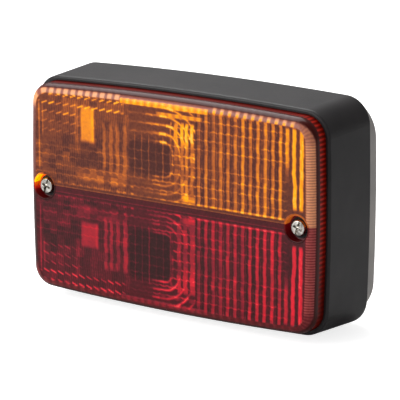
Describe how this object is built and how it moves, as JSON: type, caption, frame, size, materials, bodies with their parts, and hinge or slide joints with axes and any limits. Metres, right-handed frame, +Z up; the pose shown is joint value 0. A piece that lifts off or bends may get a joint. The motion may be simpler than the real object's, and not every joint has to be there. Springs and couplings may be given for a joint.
{
  "type": "trailer tail light",
  "caption": "Rectangular trailer rear lamp: black housing with an amber-over-red screwed lens, bayonet bulbs in sprung sockets, rear studs and a cable grommet.",
  "frame": {"origin": "centre of the rear mounting face, the plane that lies against the vehicle", "axes": "+Y points back out of the mounting face, so the lens faces -Y; +X is to the right seen from the front; +Z is up"},
  "size_m": [0.1572, 0.0674, 0.103],
  "materials": {
    "black_abs": "moulded ABS, satin",
    "charcoal_abs": "moulded ABS, matt",
    "rubber": "matt",
    "foam": "closed-cell foam",
    "zinc_steel": "zinc plated",
    "bright_screw": "bright plated",
    "spring_steel": "drawn wire",
    "brass": "turned",
    "tinned_brass": "tin plated",
    "solder": "cast",
    "insulator": "phenolic, moulded",
    "silvered_plastic": "vacuum silvered",
    "amber_acrylic": "clear moulded, polished",
    "red_acrylic": "clear moulded, polished",
    "bulb_glass": "blown, clear",
    "filament_wire": "drawn wire"
  },
  "bodies": {
    "root": {"housing": "black_abs", "rear_base": "charcoal_abs", "mounting_gasket": "rubber", "mounting_studs": "zinc_steel", "base_screws": "zinc_steel", "cable_grommet": "rubber", "lens_seal": "foam", "screw_inserts": "brass", "reflector_tray": "silvered_plastic", "chamber_divider": "silvered_plastic", "tray_screws": "zinc_steel", "bracket_rivets": "tinned_brass", "terminal_block": "insulator", "terminal_clamps": "brass", "terminal_screws": "zinc_steel", "earth_strip": "tinned_brass", "turn_strip": "tinned_brass", "tail_strip": "tinned_brass", "stop_strip": "tinned_brass", "socket_bracket_upper": "zinc_steel", "socket_sleeve_upper": "zinc_steel", "socket_cup_upper": "insulator", "socket_spring_upper": "spring_steel", "socket_bracket_lower": "zinc_steel", "socket_sleeve_lower": "zinc_steel", "socket_cup_lower": "insulator", "socket_spring_lower": "spring_steel"},
    "lens": {"lens_amber": "amber_acrylic", "lens_red": "red_acrylic"},
    "washer_left": {"screw_washer_left": "rubber"},
    "screw_left": {"lens_screw_left": "bright_screw"},
    "washer_right": {"screw_washer_right": "rubber"},
    "screw_right": {"lens_screw_right": "bright_screw"},
    "plunger_upper": {"contact_plunger_upper": "insulator", "contact_pins_upper": "brass"},
    "bulb_upper": {"bulb_cap_upper": "brass", "bulb_contacts_upper": "solder", "bulb_glass_upper": "bulb_glass", "bulb_stem_upper": "bulb_glass", "bulb_filaments_upper": "filament_wire"},
    "plunger_lower": {"contact_plunger_lower": "insulator", "contact_pins_lower": "brass"},
    "bulb_lower": {"bulb_cap_lower": "brass", "bulb_contacts_lower": "solder", "bulb_glass_lower": "bulb_glass", "bulb_stem_lower": "bulb_glass", "bulb_filaments_lower": "filament_wire"}
  },
  "joints": [
    {"name": "lens_off", "type": "slide", "parent": "root", "child": "lens", "axis": [0, -1, 0], "range_m": [0, 0.06]},
    {"name": "screw_left_travel", "type": "slide", "parent": "lens", "child": "washer_left", "axis": [0, -1, 0], "range_m": [0, 0.0105]},
    {"name": "screw_left_turn", "type": "hinge", "parent": "washer_left", "child": "screw_left", "pos_m": [-0.0665, -0.0436, 0], "axis": [0, -1, 0], "range_deg": [0, 5402]},
    {"name": "screw_right_travel", "type": "slide", "parent": "lens", "child": "washer_right", "axis": [0, -1, 0], "range_m": [0, 0.0105]},
    {"name": "screw_right_turn", "type": "hinge", "parent": "washer_right", "child": "screw_right", "pos_m": [0.0665, -0.0436, 0], "axis": [0, -1, 0], "range_deg": [0, 5402]},
    {"name": "bulb_upper_push", "type": "slide", "parent": "root", "child": "plunger_upper", "axis": [-1, 0, 0], "range_m": [0, 0.0018], "stiffness_N_per_m": 1500, "springref_m": -0.002, "deforming": ["socket_spring_upper"]},
    {"name": "bulb_upper_twist", "type": "hinge", "parent": "plunger_upper", "child": "bulb_upper", "pos_m": [-0.055, -0.025, 0.0235], "axis": [1, 0, 0], "range_deg": [0, 22.1]},
    {"name": "bulb_lower_push", "type": "slide", "parent": "root", "child": "plunger_lower", "axis": [-1, 0, 0], "range_m": [0, 0.0018], "stiffness_N_per_m": 1500, "springref_m": -0.002, "deforming": ["socket_spring_lower"]},
    {"name": "bulb_lower_twist", "type": "hinge", "parent": "plunger_lower", "child": "bulb_lower", "pos_m": [-0.055, -0.025, -0.0235], "axis": [1, 0, 0], "range_deg": [0, 22.1]}
  ],
  "couplings": [
    {"joint": "screw_left_turn", "follows": "screw_left_travel", "rad_per_m": 8976},
    {"joint": "screw_right_turn", "follows": "screw_right_travel", "rad_per_m": 8976},
    {"joint": "bulb_upper_twist", "follows": "bulb_upper_push", "rad_per_m": 213.32},
    {"joint": "bulb_lower_twist", "follows": "bulb_lower_push", "rad_per_m": 213.32}
  ]
}
